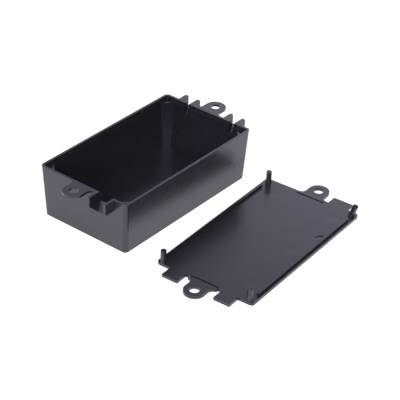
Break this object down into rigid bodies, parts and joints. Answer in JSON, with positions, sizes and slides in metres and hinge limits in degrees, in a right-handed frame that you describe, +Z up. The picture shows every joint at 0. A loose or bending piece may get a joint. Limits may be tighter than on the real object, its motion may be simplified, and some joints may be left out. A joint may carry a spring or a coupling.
{
  "type": "plastic project box",
  "caption": "Small black plastic enclosure with screw ears and cable channels at its ends, and a press-on lid with locating posts lying beside it.",
  "frame": {"origin": "centre of the box's underside, on the surface it stands on", "axes": "+Z up out of the open top; X along the box's long side, with the single cable channel at the -X end; the lid lies on the -Y side"},
  "size_m": [0.1124, 0.1128, 0.0255],
  "materials": {
    "box_plastic": "black moulded plastic, satin, fine even texture",
    "lid_plastic": "black moulded plastic, satin, fine even texture"
  },
  "bodies": {
    "root": {"box": "box_plastic", "lid": "lid_plastic"}
  },
  "joints": []
}
